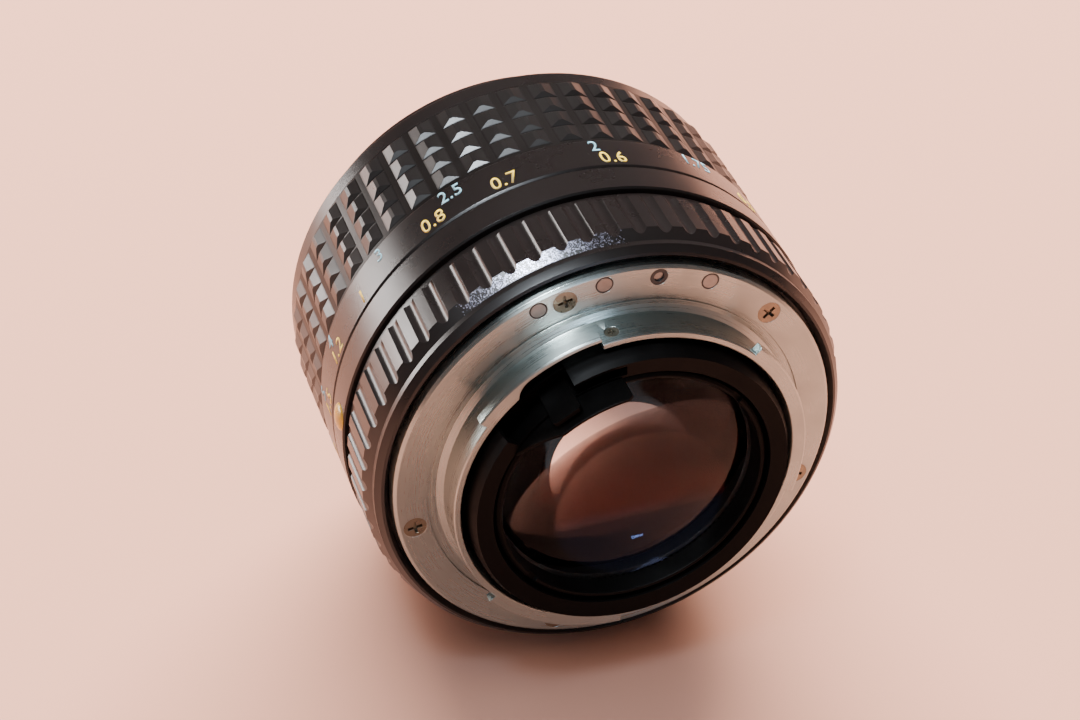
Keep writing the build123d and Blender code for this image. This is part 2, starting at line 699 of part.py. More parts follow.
def focus_grip():
    """Rubber sleeve with rows of raised blocks round it."""
    body = tube(FOCUS_BODY_R, GRIP_BASE_R, GRIP_START, GRIP_END)
    blocks = []
    for row in range(GRIP_ROWS):
        tooth = grip_tooth(GRIP_ROW_START + row * GRIP_ROW_PITCH)
        for column in range(GRIP_COLUMNS):
            angle = GRIP_PHASE + column * 360 / GRIP_COLUMNS
            blocks += (at(angle) * tooth).solids()
    return body.fuse(*blocks)


# ---------------------------------------------------------------- carriage

def lens_barrel():
    web0, web1 = CELL_WEB
    body = tube(CARRIAGE_BORE_R, CARRIAGE_R, CARRIAGE_START, CARRIAGE_END)
    body += tube(CELL_R, CARRIAGE_R, web0, web1)
    for angle in KEY_ANGLES:
        slot = block(CARRIAGE_R - 1.2, CARRIAGE_R + 1, CARRIAGE_START - 1, KEY_END + 0.5, KEY_W + 0.2)
        body -= at(angle) * slot
    bar_room = 4.5
    a0 = FORK_ANGLE - LEVER_SWING - bar_room
    a1 = FORK_ANGLE + bar_room
    body -= sector(BAR_R[0] - 0.4, BAR_R[1] + 0.7, web0 - 1, web1 + 1, a0, a1)
    return body


def filter_ring():
    """Front ring whose bore takes a screwed filter."""
    outline = [
        (FILTER_BORE_R, FILTER_LIP_END),
        (FILTER_LIP_R, FILTER_LIP_END),
        (FILTER_LIP_R, FILTER_START),
        (FILTER_R, FILTER_START),
        (FILTER_R, FRONT_END - 1.6),
        (FILTER_R - 1.3, FRONT_END),
        (FILTER_BORE_R + 0.4, FRONT_END),
        (FILTER_BORE_R, FRONT_END - 0.4),
    ]
    return turned(outline)


def front_bezel():
    """Plain sloping ring between the front glass and the filter ring."""
    seat_r = CARRIAGE_BORE_R - 0.1
    outline = [
        (RETAINER_BORE_R, 40.6),
        (22.9, 40.6),
        (seat_r, 41.2),
        (seat_r, FILTER_START),
        (FILTER_LIP_R, FILTER_START),
        (FILTER_LIP_R, FILTER_LIP_END - 0.2),
        (FILTER_LIP_R - 0.4, FILTER_LIP_END - 0.2),
        (RETAINER_BORE_R, 42.0),
    ]
    return turned(outline)


def edge_y(surface, radius):
    return surface[0] - sag(surface[1], radius)


def front_cell():
    """Stepped tube that seats the three front elements."""
    seat_1 = edge_y(ELEMENT_1["rear"], ELEMENT_1["radius"])
    seat_2 = edge_y(ELEMENT_2["rear"], ELEMENT_2["radius"])
    rim_3 = edge_y(ELEMENT_3["rear"], ELEMENT_3["clear"])
    outline = [
        (CARRIAGE_BORE_R, IRIS_END + 0.1),
        (CARRIAGE_BORE_R, FRONT_CELL_END),
        (ELEMENT_1["radius"], FRONT_CELL_END),
        (ELEMENT_1["radius"], seat_1),
        (ELEMENT_2["radius"], seat_1 - 0.4),
        (ELEMENT_2["radius"], seat_2),
        (ELEMENT_3["radius"], seat_2),
        (ELEMENT_3["radius"], rim_3),
        (IRIS_BORE_R, rim_3),
        (IRIS_BORE_R, IRIS_END + 0.1),
    ]
    return turned(outline)


def front_retainer():
    seat_y = FRONT_CELL_END + 0.05
    edge = edge_y(ELEMENT_1["front"], RETAINER_BORE_R)
    outline = [
        (RETAINER_BORE_R, edge + 0.05),
        (ELEMENT_1["radius"], seat_y),
        (CARRIAGE_BORE_R, seat_y),
        (CARRIAGE_BORE_R, 40.5),
        (RETAINER_BORE_R, 40.5),
    ]
    return turned(outline)


def rear_cell():
    return tube(CELL_BORE_R, CELL_R, CELL_START, CELL_END)


def spacer(behind, before):
    """Thin ring that keeps two elements apart at their rims."""
    inner = CELL_BORE_R - SPACER_T
    seat = 0.05
    low = edge_y(behind["front"], inner) + seat
    high = edge_y(before["rear"], inner) - seat
    return tube(inner, CELL_BORE_R, low, high)


def rear_spacer():
    return spacer(ELEMENT_6, ELEMENT_5)


def inner_spacer():
    return spacer(ELEMENT_7, ELEMENT_6)


def rear_retainer():
    """Slotted ring that screws into the rear cell and holds the last element."""
    edge = edge_y(ELEMENT_7["rear"], CELL_BORE_R)
    outline = [
        (CELL_BORE_R - 0.35, edge - 0.2),
        (CELL_BORE_R, edge - 0.1),
        (CELL_BORE_R, CELL_START),
        (CELL_R, CELL_START),
        (CELL_R, CELL_START - 1.3),
        (CELL_R - 0.4, CELL_START - 1.6),
        (CELL_R - 0.75, CELL_START - 1.5),
    ]
    body = turned(outline)
    for angle in (40.0, 220.0):
        body -= at(angle) * block(CELL_BORE_R - 0.2, CELL_R + 1, CELL_START - 3, CELL_START - 1.0, 1.6)
    return body


# ---------------------------------------------------------------- iris

def blade_angle(number):
    return BLADE_PHASE + number * 360 / BLADE_COUNT


def blade_y(number):
    return IRIS_START + IRIS_FLOOR + 0.3 + number * BLADE_PITCH


def iris_housing():
    """Ring that holds the blade pivots, open towards the rear."""
    body = tube(IRIS_BORE_R, CARRIAGE_BORE_R, IRIS_END - IRIS_FLOOR, IRIS_END)
    body += tube(22.9, CARRIAGE_BORE_R, IRIS_START + IRIS_FLOOR, IRIS_END)
    for number in range(BLADE_COUNT):
        hole = rod(BLADE_STUD_R + CLEAR, IRIS_END - IRIS_FLOOR - 0.5, IRIS_END + 0.5)
        body -= at(blade_angle(number), BLADE_PIVOT_R) * hole
    return body


def iris_cover():
    return tube(IRIS_BORE_R, CARRIAGE_BORE_R, IRIS_START, IRIS_START + IRIS_FLOOR)


def iris_ring():
    """Ring that swings the blades, with the bar that reaches back to the stop-down lever's fork."""
    y0 = CELL_WEB[1] + 0.1
    y1 = IRIS_START - 0.1
    body = tube(CELL_R + CLEAR, IRIS_RING_R, y0, y1)
    for number in range(BLADE_COUNT):
        slot = Rot(0, -35, 0) * Box(2.6, (y1 - y0) * 2, 0.9)
        body -= at(blade_angle(number), IRIS_SLOT_CIRCLE_R, y1) * slot
    bar = block(*BAR_R, -0.6, y0 + 1, BAR_W)
    return body + at(FORK_ANGLE) * bar


def iris_blade(number):
    """Thin crescent that turns on a stud at one end and sweeps across the light."""
    pivot = blade_angle(number)
    y0 = blade_y(number)
    y1 = y0 + BLADE_T
    body = sector(BLADE_INNER_R, BLADE_OUTER_R, y0, y1, pivot - BLADE_SWEEP, pivot)
    tip_r = (BLADE_OUTER_R - BLADE_INNER_R) / 2
    tip = at(pivot - BLADE_SWEEP, BLADE_INNER_R + tip_r) * rod(tip_r, y0, y1)
    head = at(pivot, BLADE_PIVOT_R - 0.4) * rod(1.5, y0, y1)
    neck = at(pivot) * block(BLADE_INNER_R + 0.3, BLADE_PIVOT_R, y0, y1, 2.6)
    stud = at(pivot, BLADE_PIVOT_R) * rod(BLADE_STUD_R, y0, IRIS_END - 0.2)
    return [body + tip + head + neck + stud]


# ---------------------------------------------------------------- write the parts

def write(name, shape):
    solids = shape if isinstance(shape, list) else [shape]
    flat = []
    for item in solids:
        flat += item.solids()
    whole = flat[0] if len(flat) == 1 else Compound(children=flat)
    export_step(whole, f"parts/{name}.step")
    print(name, len(flat))


def main():
    os.makedirs("parts", exist_ok=True)
    makers = [
        mount_flange, flange_screws, bayonet_screw, contact_discs, contact_bushes, auto_contact_pin,
        auto_pin_spring, rear_shroud, lever_guard, shroud_screws, stop_down_lever, lever_spring,
        fixed_barrel, guide_keys, guide_key_screws, index_ring, index_ring_screws, alignment_bead,
        detent_ball, detent_spring, aperture_ring, aperture_link_screw, aperture_cam_ring,
        lock_button, lock_button_spring, focus_ring, focus_ring_screws, focus_helicoid, focus_grip,
        lens_barrel, filter_ring, front_bezel, front_cell, front_retainer, rear_cell, rear_spacer,
        inner_spacer, rear_retainer, iris_housing, iris_cover, iris_ring,
    ]
    for maker in makers:
        write(maker.__name__, maker())
    elements = [ELEMENT_1, ELEMENT_2, ELEMENT_3, ELEMENT_4, ELEMENT_5, ELEMENT_6, ELEMENT_7]
    for number, element in enumerate(elements, 1):
        write(f"lens_element_{number}", glass(**element))
    for number in range(BLADE_COUNT):
        write(f"iris_blade_{number + 1}", iris_blade(number))


main()
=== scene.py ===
import math

import bmesh
import bpy
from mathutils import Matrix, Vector


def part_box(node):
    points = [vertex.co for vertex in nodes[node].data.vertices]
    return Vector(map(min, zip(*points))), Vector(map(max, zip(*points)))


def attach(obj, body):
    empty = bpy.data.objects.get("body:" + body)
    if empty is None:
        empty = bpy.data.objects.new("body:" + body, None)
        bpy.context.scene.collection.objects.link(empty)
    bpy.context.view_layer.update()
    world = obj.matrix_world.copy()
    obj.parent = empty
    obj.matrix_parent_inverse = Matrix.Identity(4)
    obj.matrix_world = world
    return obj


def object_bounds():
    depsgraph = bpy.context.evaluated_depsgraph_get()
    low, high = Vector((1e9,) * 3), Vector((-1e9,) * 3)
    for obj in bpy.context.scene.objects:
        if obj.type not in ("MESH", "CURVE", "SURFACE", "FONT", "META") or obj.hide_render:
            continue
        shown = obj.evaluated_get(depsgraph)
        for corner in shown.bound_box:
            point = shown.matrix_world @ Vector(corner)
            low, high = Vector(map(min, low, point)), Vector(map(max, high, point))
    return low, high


# A fast standard lens, lying on a pale sheet of paper and seen from behind its mount.
# Lengths on the lens are in millimetres, and MM turns them into Blender's metres. The floor, the lights'
# places and the bumps' depths are in metres.
MM = 0.001

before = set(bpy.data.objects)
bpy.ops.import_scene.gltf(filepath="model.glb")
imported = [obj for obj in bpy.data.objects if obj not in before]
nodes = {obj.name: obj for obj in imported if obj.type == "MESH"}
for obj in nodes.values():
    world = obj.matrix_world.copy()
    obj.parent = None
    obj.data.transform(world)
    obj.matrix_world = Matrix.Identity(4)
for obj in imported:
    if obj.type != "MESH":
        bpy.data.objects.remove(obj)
cad_box = [list(corner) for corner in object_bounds()]

FLOOR_Z = cad_box[0][2]
SHEET_HALF = 2.5             # half of the sheet's side, in metres
BAND_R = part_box("index_ring")[1].z / MM
APERTURE_R = 32.2

# the dials: angles go from +X towards +Z, seen from behind the lens
INDEX_ANGLE = 229.8
SCALE_TURN = 27.8            # turn of the focus ring, in degrees for each millimetre of extension
NEAR_EXTENSION = 4.49        # extension at which the angle below stands under no mark
NEAR_ANGLE = 105.0
FOCAL = 51.6
FOOT = 304.8
METRE_ROW_Y = 19.8
FOOT_ROW_Y = 22.5
DIGIT_H = 2.5
FOOT_DIGIT_H = DIGIT_H * 0.94
F_STOP_ROW_Y = 8.9
F_STOP_H = 2.3
INDEX_MARK = (13.1, 17.5)    # ends of the index mark along Y
INDEX_MARK_W = 0.5
DEPTH_LINE = (16.0, 17.5)
DEPTH_LINE_W = 0.22
DEPTH_ROW_Y = 14.6
DEPTH_DIGIT_H = 1.8
FIGURE_RISE = 0.05           # thickness of a figure's enamel
LINE_RISE = 0.045            # and of a line's
ENAMEL_SINK = 0.02           # how far both start below the surface
F_STOPS = ["1.2", "2", "2.8", "4", "5.6", "8", "11", "16", "22", "A"]
F_STOP_STEP = 66.0 / 9

PLAIN_EDGE = 0.03            # width of the rounding where dress_nodes names no other
PLAIN_LIMIT = 24.0           # edges that turn more than this, in degrees, are rounded
GRIP_LIMIT = 9.0             # the grip's blocks have flatter slopes

CAMERA_FOCAL = 83.33
CAMERA_PLACE = (-85.2, -227.9, 204.7)
CAMERA_AIM = (0.247, 0.750, -0.614)

BLACK = (0.0075, 0.0053, 0.0050)
YELLOW = (0.87, 0.62, 0.07)
BLUE = (0.24, 0.5, 0.62)
WHITE = (0.75, 0.74, 0.72)


# ---------------------------------------------------------------- node helpers

class Nodes:
    """Short way to write a material's node tree."""

    def __init__(self, name):
        self.material = bpy.data.materials.new(name)
        self.material.use_nodes = True
        self.tree = self.material.node_tree
        self.tree.nodes.clear()
        self.shader = self.tree.nodes.new("ShaderNodeBsdfPrincipled")
        self.output = self.tree.nodes.new("ShaderNodeOutputMaterial")
        self.tree.links.new(self.shader.outputs["BSDF"], self.output.inputs["Surface"])
        self.place = self.tree.nodes.new("ShaderNodeTexCoord").outputs["Object"]

    def add(self, kind, **values):
        node = self.tree.nodes.new("ShaderNode" + kind)
        for key, value in values.items():
            setattr(node, key, value)
        return node

    def feed(self, socket, value):
        if isinstance(value, bpy.types.NodeSocket):
            self.tree.links.new(value, socket)
        else:
            socket.default_value = value

    def math(self, operation, a, b=0.0, clamp=False):
        node = self.add("Math", operation=operation, use_clamp=clamp)
        self.feed(node.inputs[0], a)
        self.feed(node.inputs[1], b)
        return node.outputs[0]

    def mix(self, factor, a, b):
        node = self.add("Mix", data_type="RGBA")
        self.feed(node.inputs["Factor"], factor)
        self.feed(node.inputs["A"], a)
        self.feed(node.inputs["B"], b)
        return node.outputs["Result"]

    def ramp(self, value, low, high, to_low=0.0, to_high=1.0):
        node = self.add("MapRange")
        self.feed(node.inputs["Value"], value)
        for key, number in zip(("From Min", "From Max", "To Min", "To Max"), (low, high, to_low, to_high)):
            node.inputs[key].default_value = number
        return node.outputs["Result"]

    def noise(self, vector, scale, detail=4.0, roughness=0.55):
        node = self.add("TexNoise")
        self.feed(node.inputs["Vector"], vector)
        node.inputs["Scale"].default_value = scale
        node.inputs["Detail"].default_value = detail
        node.inputs["Roughness"].default_value = roughness
        return node.outputs["Fac"]

    def cells(self, vector, scale):
        node = self.add("TexVoronoi")
        self.feed(node.inputs["Vector"], vector)
        node.inputs["Scale"].default_value = scale
        return node

    def axes(self):
        """x, y, z of the point in the object's own frame."""
        node = self.add("SeparateXYZ")
        self.feed(node.inputs[0], self.place)
        return node.outputs[0], node.outputs[1], node.outputs[2]

    def radius(self):
        x, _, z = self.axes()
        return self.math("SQRT", self.math("ADD", self.math("MULTIPLY", x, x), self.math("MULTIPLY", z, z)))

    def angle(self):
        """Angle round the optical axis in radians, from +X towards +Z."""
        x, _, z = self.axes()
        return self.math("ARCTAN2", z, x)

    def turned_place(self, along=1.0, round_scale=0.0):
        """A point for noise that runs in rings, as a lathe leaves them."""
        _, y, _ = self.axes()
        node = self.add("CombineXYZ")
        self.feed(node.inputs[0], self.radius())
        self.feed(node.inputs[1], self.math("MULTIPLY", y, along))
        self.feed(node.inputs[2], self.math("MULTIPLY", self.angle(), round_scale))
        return node.outputs[0]

    def bump(self, height, distance, strength=1.0):
        node = self.add("Bump")
        node.inputs["Strength"].default_value = strength
        node.inputs["Distance"].default_value = distance
        self.feed(node.inputs["Height"], height)
        self.feed(self.shader.inputs["Normal"], node.outputs["Normal"])

    def set(self, **values):
        for key, value in values.items():
            self.feed(self.shader.inputs[key.replace("_", " ")], value)


def rgba(colour, alpha=1.0):
    return (*colour, alpha)


# ---------------------------------------------------------------- materials

def turned_steel():
    """Bright steel turned on a lathe, touched by hands for years."""
    n = Nodes("turned_steel")
    rings = n.noise(n.turned_place(1.0, 0.00002), 9000.0, 3.0, 0.7)
    broad = n.noise(n.turned_place(1.0, 0.0004), 1400.0, 2.0)
    smudge = n.noise(n.place, 130.0, 5.0, 0.6)
    specks = n.ramp(n.cells(n.place, 900.0).outputs["Distance"], 0.10, 0.02)
    rare = n.ramp(n.noise(n.place, 520.0, 2.0), 0.60, 0.66)
    dirt = n.math("MULTIPLY", specks, rare, clamp=True)
    clean = n.mix(smudge, rgba((0.37, 0.415, 0.40)), rgba((0.29, 0.33, 0.315)))
    n.set(Base_Color=n.mix(dirt, clean, rgba((0.15, 0.11, 0.08))))
    n.set(Metallic=1.0, Anisotropic=0.85, Anisotropic_Rotation=0.25)
    grain = n.ramp(rings, 0.3, 0.7, 0.0, 0.13)
    n.set(Roughness=n.math("ADD", grain, n.ramp(smudge, 0.3, 0.7, 0.17, 0.3)))
    tangent = n.add("Tangent", direction_type="RADIAL", axis="Y")
    n.set(Tangent=tangent.outputs[0])
    n.bump(n.math("ADD", rings, n.math("MULTIPLY", broad, 1.5)), 0.000010, 0.7)
    return n.material


def screw_steel():
    n = Nodes("screw_steel")
    tarnish = n.noise(n.place, 900.0, 4.0)
    n.set(Base_Color=n.mix(tarnish, rgba((0.26, 0.225, 0.17)), rgba((0.15, 0.125, 0.09))))
    n.set(Metallic=1.0, Roughness=n.ramp(tarnish, 0.3, 0.7, 0.22, 0.42))
    n.bump(n.noise(n.place, 4000.0, 2.0), 0.00001, 0.5)
    return n.material


def contact_metal():
    n = Nodes("contact_metal")
    tarnish = n.noise(n.place, 1300.0, 3.0)
    n.set(Base_Color=n.mix(tarnish, rgba((0.27, 0.265, 0.26)), rgba((0.18, 0.175, 0.165))))
    n.set(Metallic=1.0, Roughness=0.35)
    return n.material


def deep_black():
    """Flocked-looking matt black inside the mount."""
    n = Nodes("deep_black")
    grain = n.noise(n.place, 9000.0, 3.0)
    worn = n.noise(n.place, 260.0, 5.0)
    n.set(Base_Color=n.mix(worn, rgba((0.0008, 0.0005, 0.0005)), rgba((0.0022, 0.0016, 0.0016))))
    n.set(Roughness=n.ramp(worn, 0.3, 0.7, 0.4, 0.55), Specular_IOR_Level=0.06)
    n.bump(grain, 0.000006, 0.7)
    return n.material


def dial_black():
    """Anodised dial rings: the engraved bands, with fine turning rings."""
    n = Nodes("dial_black")
    rings = n.noise(n.turned_place(1.0, 0.00002), 12000.0, 2.0)
    rubbed = n.noise(n.place, 70.0, 5.0)
    grain = n.noise(n.place, 16000.0, 2.0)
    scratch = n.ramp(n.noise(n.turned_place(0.2, 0.02), 2600.0, 2.0), 0.72, 0.76)
    body = n.mix(rubbed, rgba(BLACK), rgba(tuple(c * 1.35 for c in BLACK)))
    n.set(Base_Color=n.mix(n.math("MULTIPLY", scratch, 0.25), body, rgba((0.16, 0.14, 0.13))))
    n.set(Roughness=n.ramp(rubbed, 0.3, 0.7, 0.25, 0.33), Specular_IOR_Level=0.38)
    n.bump(n.math("ADD", grain, n.math("MULTIPLY", rings, 0.5)), 0.000005, 0.6)
    return n.material


def aperture_black():
    """The aperture ring: the cone towards the mount has lost its paint in sparkling flecks, laid only in a
    window of angles where the overhead lamp glints, partly real wear and partly a painted highlight.
    """
    n = Nodes("aperture_black")
    _, y, _ = n.axes()
    angle = n.angle()
    rubbed = n.noise(n.place, 80.0, 5.0)
    grain = n.noise(n.place, 9000.0, 3.0)
    body = n.mix(rubbed, rgba(BLACK), rgba(tuple(c * 1.5 for c in BLACK)))
    on_cone = n.math("MULTIPLY", n.ramp(y, 2.55 * MM, 2.7 * MM), n.ramp(y, 4.25 * MM, 4.15 * MM))
    cone_r = n.ramp(y, 2.6 * MM, 4.15 * MM, 31.26 * MM, 32.12 * MM)
    low = n.math("GREATER_THAN", n.radius(), cone_r)
    patch = n.noise(n.place, 95.0, 3.0)
    # flecks only in a window round 107 degrees, where the overhead lamp glints on the cone: a painted
    # highlight
    glint_angle_window = n.ramp(n.math("ABSOLUTE", n.math("SUBTRACT", angle, math.radians(107))), 0.36, 0.16)
    glint_fleck_share = n.math("MULTIPLY", glint_angle_window, n.ramp(patch, 0.35, 0.65, 0.35, 0.95))
    flakes = n.cells(n.place, 7500.0)
    flake_level = n.add("SeparateColor")
    n.feed(flake_level.inputs[0], flakes.outputs["Color"])
    worn = n.math("LESS_THAN", flake_level.outputs[0], glint_fleck_share)
    worn = n.math("MULTIPLY", n.math("MULTIPLY", worn, on_cone), low, clamp=True)
    # bright bluish fleck colour: exposed metal with a painted glint
    bare_metal_glint = n.mix(flake_level.outputs[1], rgba((0.06, 0.06, 0.09)), rgba((0.34, 0.35, 0.46)))
    n.set(Base_Color=n.mix(worn, body, bare_metal_glint))
    n.set(Metallic=n.math("MULTIPLY", worn, 0.5))
    n.set(Roughness=n.ramp(rubbed, 0.3, 0.7, 0.25, 0.34), Specular_IOR_Level=0.38)
    n.bump(n.math("ADD", grain, n.math("MULTIPLY", worn, -3.0)), 0.000006, 0.8)
    return n.material


def grip_rubber():
    """Moulded rubber: the valleys between the blocks get a lower specular level than the block tops, a
    painted shade in the recesses.
    """
    n = Nodes("grip_rubber")
    grain = n.noise(n.place, 7000.0, 4.0, 0.7)
    dusty = n.noise(n.place, 140.0, 5.0)
    valley_shade_ramp = n.ramp(n.radius(), 32.03 * MM, 32.14 * MM)
    n.set(Base_Color=n.mix(dusty, rgba((0.0062, 0.0050, 0.0048)), rgba((0.0120, 0.0100, 0.0095))))
    n.set(Roughness=n.ramp(dusty, 0.3, 0.7, 0.27, 0.38))
    # low specular level in the valleys: painted shade between the blocks
    n.set(Specular_IOR_Level=n.ramp(valley_shade_ramp, 0.0, 1.0, 0.06, 0.4))
    n.bump(grain, 0.000008, 0.7)
    return n.material


def anodised():
    n = Nodes("anodised")
    rings = n.noise(n.turned_place(1.0, 0.00002), 5000.0, 3.0)
    n.set(Base_Color=n.mix(rings, rgba((0.012, 0.012, 0.013)), rgba((0.02, 0.02, 0.022))))
    n.set(Roughness=0.5)
    n.bump(rings, 0.000006, 0.6)
    return n.material


def brass():
    n = Nodes("brass")
    rings = n.noise(n.turned_place(1.0, 0.00002), 6000.0, 3.0)
    n.set(Base_Color=n.mix(rings, rgba((0.6, 0.42, 0.16)), rgba((0.72, 0.53, 0.24))))
    n.set(Metallic=1.0, Roughness=n.ramp(rings, 0.3, 0.7, 0.25, 0.4))
    return n.material


def spring_steel():
    n = Nodes("spring_steel")
    tone = n.noise(n.place, 1500.0, 3.0)
    n.set(Base_Color=n.mix(tone, rgba((0.45, 0.45, 0.46)), rgba((0.6, 0.59, 0.58))))
    n.set(Metallic=1.0, Roughness=0.3)
    return n.material


def black_plastic():
    n = Nodes("black_plastic")
    grain = n.noise(n.place, 8000.0, 3.0)
    n.set(Base_Color=n.mix(grain, rgba((0.012, 0.011, 0.011)), rgba((0.02, 0.018, 0.018))))
    n.set(Roughness=n.ramp(grain, 0.3, 0.7, 0.35, 0.5))
    n.bump(grain, 0.000005, 0.6)
    return n.material


def yellow_plastic():
    n = Nodes("yellow_plastic")
    cloudy = n.noise(n.place, 700.0, 3.0)
    n.set(Base_Color=n.mix(cloudy, rgba((0.74, 0.45, 0.02)), rgba((0.6, 0.35, 0.015))))
    n.set(Roughness=n.ramp(cloudy, 0.3, 0.7, 0.22, 0.34))
    n.shader.inputs["Subsurface Weight"].default_value = 0.15
    n.shader.inputs["Subsurface Radius"].default_value = (0.001, 0.0006, 0.0002)
    n.bump(cloudy, 0.00002, 0.4)
    return n.material


def paint_mark(name, colour):
    """Enamel in the engraved figures."""
    n = Nodes(name)
    worn = n.noise(n.place, 2600.0, 4.0)
    n.set(Base_Color=n.mix(n.ramp(worn, 0.52, 0.75), rgba(colour), rgba(tuple(c * 0.55 for c in colour))))
    n.set(Roughness=0.5)
    n.bump(worn, 0.00002, 0.5)
    return n.material


def blade_steel():
    n = Nodes("blade_steel")
    tone = n.noise(n.place, 600.0, 3.0)
    n.set(Base_Color=n.mix(tone, rgba((0.02, 0.02, 0.024)), rgba((0.035, 0.035, 0.04))))
    n.set(Metallic=0.6, Roughness=0.42)
    return n.material


def coated_glass(name, tint, clear=(0.96, 0.97, 0.95)):
    """Optical glass whose coating gives its reflections a colour. A dark see-through colour, where one is
    given, is painted shade for the dim inside of the lens.
    """
    n = Nodes(name)
    film = n.noise(n.place, 45.0, 2.0)
    n.set(Base_Color=n.mix(film, rgba(clear), rgba(tuple(c * 0.985 for c in clear))))
    n.set(Roughness=0.0, IOR=1.6)
    n.shader.inputs["Transmission Weight"].default_value = 1.0
    n.shader.inputs["Specular Tint"].default_value = rgba(tint)
    return n.material


def rear_glass():
    """The last element: its front face mirrors the table in wine red; below the centre its coating turns
    blue, where the far window's glint falls, a painted glint colour.
    """
    n = Nodes("rear_glass")
    _, y, z = n.axes()
    film = n.noise(n.place, 45.0, 2.0)
    n.set(Base_Color=n.mix(film, rgba((0.93, 0.9, 0.9)), rgba((0.9, 0.86, 0.86))))
    inside = n.ramp(y, -3.4 * MM, -3.0 * MM)
    glint_blue_zone = n.ramp(z, -6.0 * MM, -8.5 * MM)
    # blue coating below the centre, where the far window's glint falls: painted glint colour
    coating = n.mix(glint_blue_zone, rgba((0.27, 0.03, 0.014)), rgba((0.3, 0.38, 0.75)))
    n.set(Specular_Tint=n.mix(inside, rgba((0.02, 0.009, 0.008)), coating))
    n.set(Roughness=0.0, IOR=1.6)
    n.shader.inputs["Transmission Weight"].default_value = 1.0
    return n.material


def paper():
    """Pale sheet that the lens lies on."""
    n = Nodes("paper")
    cloud = n.noise(n.place, 3.5, 3.0)
    fibre = n.noise(n.place, 700.0, 4.0)
    n.set(Base_Color=n.mix(cloud, rgba((0.86, 0.41, 0.285)), rgba((0.82, 0.385, 0.265))))
    n.set(Roughness=0.75)
    n.bump(fibre, 0.00002, 0.25)
    return n.material


# ---------------------------------------------------------------- CAD nodes

def soften(name, width, limit):
    """Rounds a node's hard edges a little and shades the rest smooth."""
    piece = nodes[name]
    mesh = piece.data
    normals = mesh.attributes.get("custom_normal")
    if normals:
        mesh.attributes.remove(normals)
    mesh.shade_smooth()
    weld = piece.modifiers.new("weld", "WELD")
    weld.merge_threshold = 0.000002
    bevel = piece.modifiers.new("bevel", "BEVEL")
    bevel.width = width * MM
    bevel.segments = 2
    bevel.limit_method = "ANGLE"
    bevel.angle_limit = math.radians(limit)
    bevel.harden_normals = True


def paint(name, material):
    mesh = nodes[name].data
    mesh.materials.clear()
    mesh.materials.append(material)


def dress_nodes():
    """Gives every CAD node its material and its rounded edges."""
    dial = dial_black()
    steel = turned_steel()
    screws = screw_steel()
    contact = contact_metal()
    tube = anodised()
    bronze = brass()
    spring = spring_steel()
    plastic = black_plastic()
    blade = blade_steel()
    finishes = {
        steel: ["mount_flange"],
        screws: ["flange_screws", "bayonet_screw", "shroud_screws", "guide_key_screws",
                 "index_ring_screws", "aperture_link_screw", "focus_ring_screws"],
        contact: ["contact_discs", "auto_contact_pin"],
        plastic: ["contact_bushes", "lock_button"],
        spring: ["auto_pin_spring", "lever_spring", "detent_ball", "detent_spring", "lock_button_spring"],
        deep_black(): ["rear_shroud", "lever_guard", "stop_down_lever", "rear_cell", "rear_retainer"],
        dial: ["index_ring", "focus_ring", "filter_ring", "front_bezel"],
        aperture_black(): ["aperture_ring"],
        grip_rubber(): ["focus_grip"],
        yellow_plastic(): ["alignment_bead"],
        bronze: ["guide_keys", "aperture_cam_ring", "focus_helicoid", "iris_ring"],
        tube: ["fixed_barrel", "lens_barrel", "front_cell", "front_retainer", "rear_spacer",
               "inner_spacer", "iris_housing", "iris_cover"],
        blade: [f"iris_blade_{number}" for number in range(1, 10)],
        rear_glass(): ["lens_element_7"],
        # the inner and middle elements get a dark red see-through colour: painted shade for the dim inside of
        # the lens
        coated_glass("inner_coating_and_shade", (0.05, 0.012, 0.008), (0.20, 0.05, 0.04)):
            ["lens_element_5", "lens_element_6"],
        coated_glass("middle_coating_and_shade", (0.10, 0.02, 0.02), (0.10, 0.03, 0.025)):
            ["lens_element_3", "lens_element_4"],
        coated_glass("front_coating", (0.45, 0.8, 0.5)):
            ["lens_element_1", "lens_element_2"],
    }
    for material, names in finishes.items():
        for name in names:
            paint(name, material)
    edges = {
        "mount_flange": 0.09, "rear_shroud": 0.1, "lever_guard": 0.08, "stop_down_lever": 0.08,
        "aperture_ring": 0.09, "focus_grip": 0.05, "index_ring": 0.08, "focus_ring": 0.08,
        "filter_ring": 0.1, "front_bezel": 0.08, "rear_retainer": 0.08, "lock_button": 0.08,
        "flange_screws": 0.05, "bayonet_screw": 0.04, "contact_discs": 0.06, "auto_contact_pin": 0.08,
        "contact_bushes": 0.03, "alignment_bead": 0.05, "rear_cell": 0.08,
    }
    for name, piece in nodes.items():
        soften(name, edges.get(name, PLAIN_EDGE), GRIP_LIMIT if name == "focus_grip" else PLAIN_LIMIT)


# ---------------------------------------------------------------- figures on the dials

def scale_angle(distance):
    """Angle on the focus ring of a distance in millimetres from the film."""
    half = (distance / FOCAL - 2) / 2
    magnification = half - math.sqrt(half * half - 1)
    extension = FOCAL * magnification
    return NEAR_ANGLE + SCALE_TURN * (NEAR_EXTENSION - extension)


